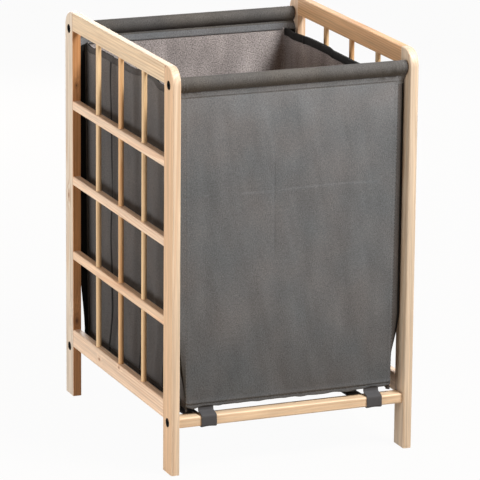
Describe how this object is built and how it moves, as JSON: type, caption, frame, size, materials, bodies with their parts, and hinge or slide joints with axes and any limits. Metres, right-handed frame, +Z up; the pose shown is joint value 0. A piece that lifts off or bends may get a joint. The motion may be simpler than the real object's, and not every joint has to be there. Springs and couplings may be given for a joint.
{
  "type": "laundry hamper",
  "caption": "Open-topped cloth laundry bag hung from two rods between ladder-like pine side frames, with webbing straps round the bottom rails.",
  "frame": {"origin": "on the floor, midway between the four feet", "axes": "+Z up; +X to the right, across the rods, seen from the front; -Y is the front"},
  "size_m": [0.38, 0.45, 0.6],
  "materials": {
    "pine_frame": "clear-lacquered pine, planed and sanded",
    "pine_spindle": "clear-lacquered turned pine",
    "pine_rod": "plain turned pine",
    "beech_dowel": "fluted beech, glued",
    "black_bolt": "black, satin",
    "zinc_insert": "zinc-plated",
    "bag_cloth": "matt charcoal woven cloth",
    "lining_cloth": "speckled mauve-grey bonded cloth",
    "webbing": "charcoal woven webbing"
  },
  "bodies": {
    "root": {"left_front_post": "pine_frame", "left_rear_post": "pine_frame", "left_top_rail": "pine_frame", "left_upper_slim_rail": "pine_frame", "left_middle_slim_rail": "pine_frame", "left_lower_slim_rail": "pine_frame", "left_bottom_rail": "pine_frame", "left_front_spindle": "pine_spindle", "left_middle_spindle": "pine_spindle", "left_rear_spindle": "pine_spindle", "left_glue_dowels": "beech_dowel", "right_front_post": "pine_frame", "right_rear_post": "pine_frame", "right_top_rail": "pine_frame", "right_upper_slim_rail": "pine_frame", "right_middle_slim_rail": "pine_frame", "right_lower_slim_rail": "pine_frame", "right_bottom_rail": "pine_frame", "right_front_spindle": "pine_spindle", "right_middle_spindle": "pine_spindle", "right_rear_spindle": "pine_spindle", "right_glue_dowels": "beech_dowel", "front_rod": "pine_rod", "rear_rod": "pine_rod", "front_cross_rail": "pine_frame", "rear_cross_rail": "pine_frame", "left_bolts": "black_bolt", "right_bolts": "black_bolt", "rod_inserts": "zinc_insert", "cross_rail_inserts": "zinc_insert", "bag_front_panel": "bag_cloth", "bag_rear_panel": "bag_cloth", "bag_left_panel": "bag_cloth", "bag_right_panel": "bag_cloth", "bag_base": "bag_cloth", "bag_lining": "lining_cloth", "bag_corner_seams": "bag_cloth", "front_rod_sleeve": "bag_cloth", "rear_rod_sleeve": "bag_cloth", "left_top_hem": "bag_cloth", "right_top_hem": "bag_cloth", "left_strap": "webbing", "right_strap": "webbing"}
  },
  "joints": []
}
